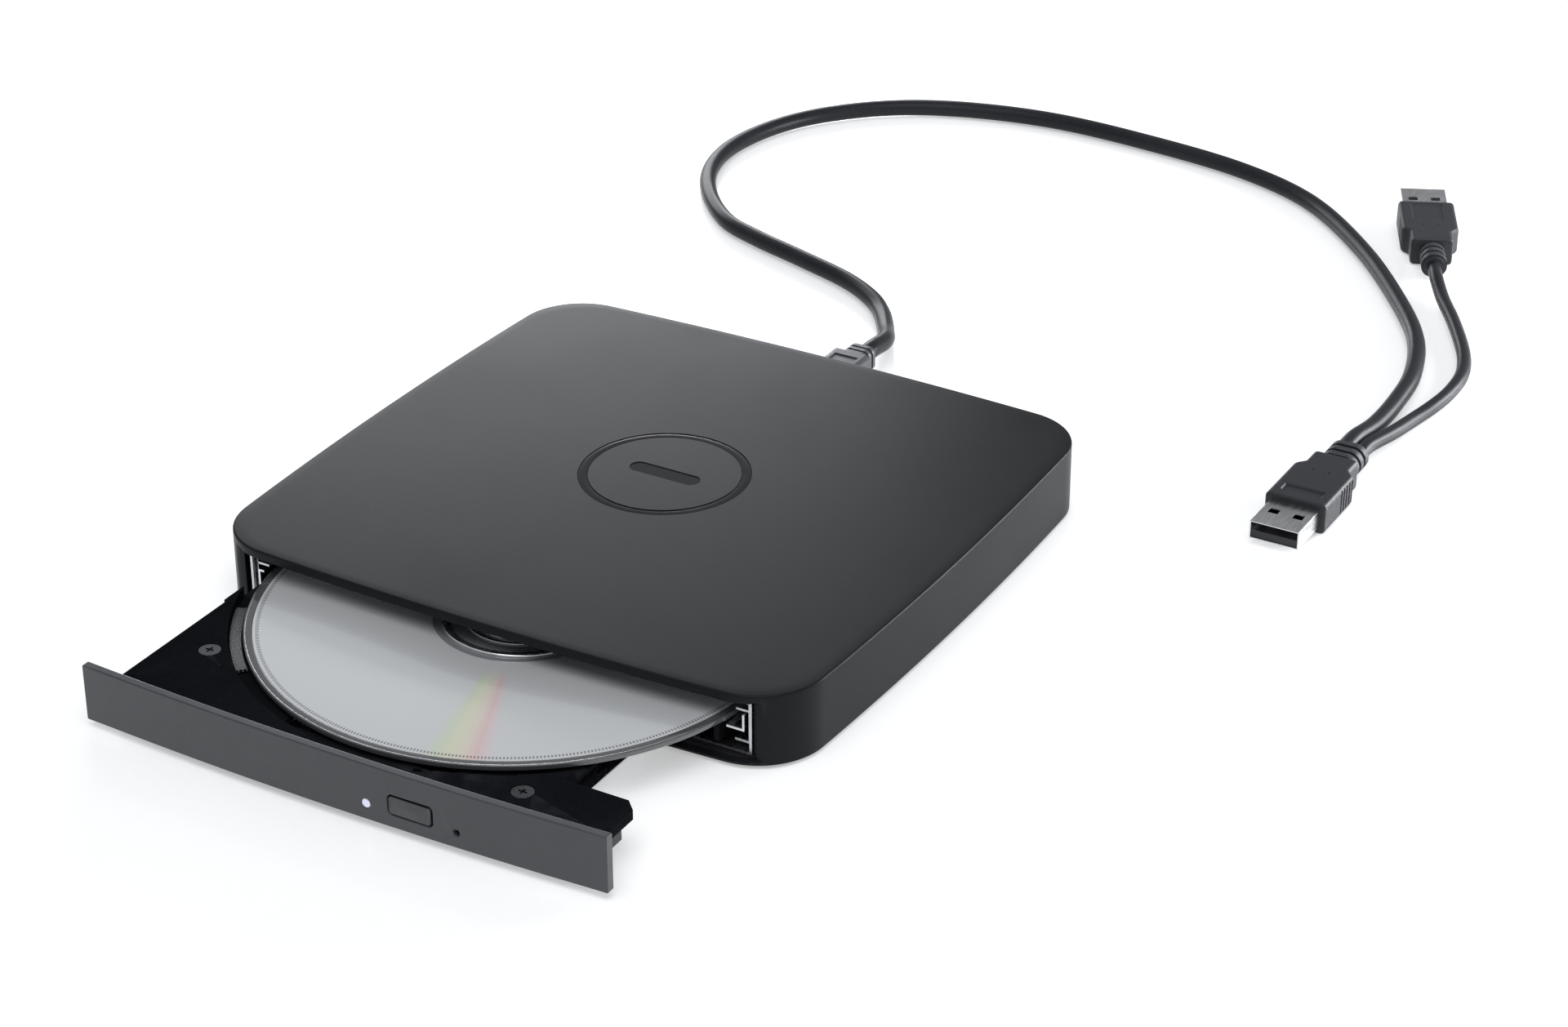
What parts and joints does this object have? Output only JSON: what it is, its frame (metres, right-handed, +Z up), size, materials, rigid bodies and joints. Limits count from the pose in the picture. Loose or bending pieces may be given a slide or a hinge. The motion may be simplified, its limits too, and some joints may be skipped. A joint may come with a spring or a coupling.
{
  "type": "external optical drive",
  "caption": "Slim portable disc drive with a rounded charcoal case, a sliding tray that holds a disc on a spinning hub, and a USB lead that splits into a data plug and a power plug.",
  "frame": {"origin": "middle of the housing in plan, on the surface its rubber feet stand on", "axes": "+X to the right along the front, the tray slides out towards -Y and the lead leaves the back towards +Y, +Z up"},
  "size_m": [0.2357, 0.3971, 0.0175],
  "materials": {
    "shell_charcoal": "satin fine grain",
    "base_black": "fine grain",
    "badge_gloss": "polished",
    "foot_rubber": "matt",
    "screw_steel": "plated",
    "label_grey": "satin film",
    "sheet_steel": "zinc plated",
    "rail_steel": "bright",
    "board_green": "solder mask",
    "chip_black": "moulded",
    "flex_amber": "film",
    "connector_black": "moulded",
    "tray_black": "fine grain",
    "bezel_black": "satin",
    "screw_black": "black plated",
    "led_clear": "diffusing",
    "solenoid_copper": "wound wire",
    "damper_rubber": "matt",
    "rod_chrome": "ground",
    "sled_grey": "die cast",
    "lens_violet": "coated lens",
    "lever_white": "moulded",
    "turntable_black": "moulded",
    "disc_silver": "mirror under clear plastic",
    "plug_metal": "nickel plated",
    "plug_black": "soft moulded",
    "cord_jacket": "satin jacket"
  },
  "bodies": {
    "housing": {"top_shell": "shell_charcoal", "bottom_cover": "base_black", "badge_ring": "badge_gloss", "badge_mark": "badge_gloss", "rubber_feet": "foot_rubber", "base_screws": "screw_steel", "rating_label": "label_grey", "drive_chassis": "sheet_steel", "drive_cover": "sheet_steel", "cover_screws": "screw_steel", "latch_post": "rail_steel", "rail_guide_left": "rail_steel", "rail_guide_right": "rail_steel", "main_board": "board_green", "main_board_chips": "chip_black", "flex_cable": "flex_amber", "drive_connector": "connector_black", "bridge_board": "board_green", "bridge_board_chips": "chip_black", "board_screws": "screw_steel", "usb_socket": "plug_metal", "mini_plug_tip": "plug_metal", "mini_plug_body": "plug_black", "mini_strain_relief": "plug_black", "main_cord": "cord_jacket", "main_plug_relief": "plug_black", "main_plug_body": "plug_black", "main_plug_shell": "plug_metal", "main_plug_tongue": "connector_black", "power_cord": "cord_jacket", "power_plug_relief": "plug_black", "power_plug_body": "plug_black", "power_plug_shell": "plug_metal", "power_plug_tongue": "connector_black"},
    "tray": {"tray": "tray_black", "tray_underside": "sheet_steel", "bezel": "bezel_black", "deck_screws": "screw_black", "led_lens": "led_clear", "status_led": "led_clear", "front_board": "board_green", "eject_switch": "chip_black", "latch_solenoid": "solenoid_copper", "traverse_frame": "sheet_steel", "frame_dampers": "damper_rubber", "guide_rods": "rod_chrome", "sled_motor": "screw_steel", "spindle_motor": "screw_steel"},
    "rail_left": {"slide_rail_left": "rail_steel"},
    "rail_right": {"slide_rail_right": "rail_steel"},
    "spindle": {"turntable": "turntable_black", "hub_jaws": "rod_chrome", "disc": "disc_silver"},
    "button": {"eject_button": "bezel_black"},
    "latch": {"latch_lever": "lever_white"},
    "screw": {"lead_screw": "rod_chrome"},
    "sled": {"pickup_sled": "sled_grey"},
    "lens": {"objective_lens": "lens_violet"}
  },
  "joints": [
    {"name": "tray_slide", "type": "slide", "parent": "housing", "child": "tray", "axis": [0, -1, 0], "range_m": [-0.0536, 0.0764]},
    {"name": "rail_left_slide", "type": "slide", "parent": "housing", "child": "rail_left", "axis": [0, -1, 0], "range_m": [-0.0268, 0.0382]},
    {"name": "rail_right_slide", "type": "slide", "parent": "housing", "child": "rail_right", "axis": [0, -1, 0], "range_m": [-0.0268, 0.0382]},
    {"name": "spindle_spin", "type": "hinge", "parent": "tray", "child": "spindle", "pos_m": [0, -0.0568, 0.0095], "axis": [0, 0, 1], "continuous": true},
    {"name": "button_press", "type": "slide", "parent": "tray", "child": "button", "axis": [0, 1, 0], "range_m": [0, 0.0005], "stiffness_N_per_m": 400},
    {"name": "latch_turn", "type": "hinge", "parent": "tray", "child": "latch", "pos_m": [0.0515, -0.1091, 0.0054], "axis": [0, 0, 1], "range_deg": [-21, 0]},
    {"name": "sled_slide", "type": "slide", "parent": "tray", "child": "sled", "axis": [0, -1, 0], "range_m": [0, 0.028]},
    {"name": "lead_screw_spin", "type": "hinge", "parent": "tray", "child": "screw", "pos_m": [0.034, -0.0568, 0.0053], "axis": [0, 1, 0], "range_deg": [0, 3361]},
    {"name": "lens_focus", "type": "slide", "parent": "sled", "child": "lens", "axis": [0, 0, 1], "range_m": [-0.0003, 0.0003], "stiffness_N_per_m": 60}
  ],
  "couplings": [
    {"joint": "rail_left_slide", "follows": "tray_slide", "ratio": 0.5},
    {"joint": "rail_right_slide", "follows": "tray_slide", "ratio": 0.5},
    {"joint": "lead_screw_spin", "follows": "sled_slide", "rad_per_m": 2094.4}
  ]
}
